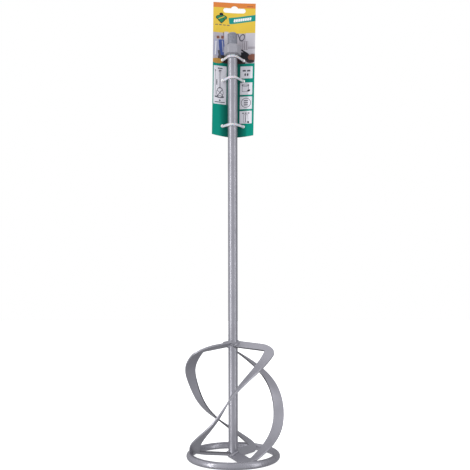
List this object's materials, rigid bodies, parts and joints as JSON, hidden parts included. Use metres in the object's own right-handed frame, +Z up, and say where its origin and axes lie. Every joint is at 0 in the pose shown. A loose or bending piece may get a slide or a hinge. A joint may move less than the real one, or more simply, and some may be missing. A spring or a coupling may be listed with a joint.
{
  "type": "mortar mixing paddle",
  "caption": "Drill-driven mortar mixing paddle: threaded tube shaft, spiral blades in a basket on a round base ring, with a retail hang card tied to the shaft.",
  "frame": {"origin": "on the shaft's axis at the floor that the base ring stands on", "axes": "+Z up the shaft towards the thread, +X right and -Y towards the viewer, who faces the shaft with the card behind it"},
  "size_m": [0.1411, 0.1408, 0.6518],
  "materials": {
    "grey_paint": "semi-gloss silver-grey paint over steel",
    "weld_paint": "painted weld beads",
    "turned_steel": "turned and painted steel",
    "card_print": "printed and coated card stock",
    "nylon": "natural nylon"
  },
  "bodies": {
    "paddle": {"spindle_adapter": "turned_steel", "shaft_tube": "grey_paint", "base_ring": "grey_paint", "foot_plug": "grey_paint", "spiral_blade_1": "grey_paint", "spiral_blade_2": "grey_paint", "spiral_blade_3": "grey_paint", "adapter_weld": "weld_paint", "hub_weld_1": "weld_paint", "hub_weld_2": "weld_paint", "hub_weld_3": "weld_paint", "foot_weld_1": "weld_paint", "foot_weld_2": "weld_paint", "foot_weld_3": "weld_paint", "ring_weld_1": "weld_paint", "ring_weld_2": "weld_paint", "ring_weld_3": "weld_paint"},
    "card": {"hang_card": "card_print", "cable_tie_upper": "nylon", "cable_tie_middle": "nylon", "cable_tie_lower": "nylon"}
  },
  "joints": [
    {"name": "card_turn", "type": "hinge", "parent": "paddle", "child": "card", "pos_m": [0, 0, 0.555], "axis": [0, 0, 1], "continuous": true}
  ]
}
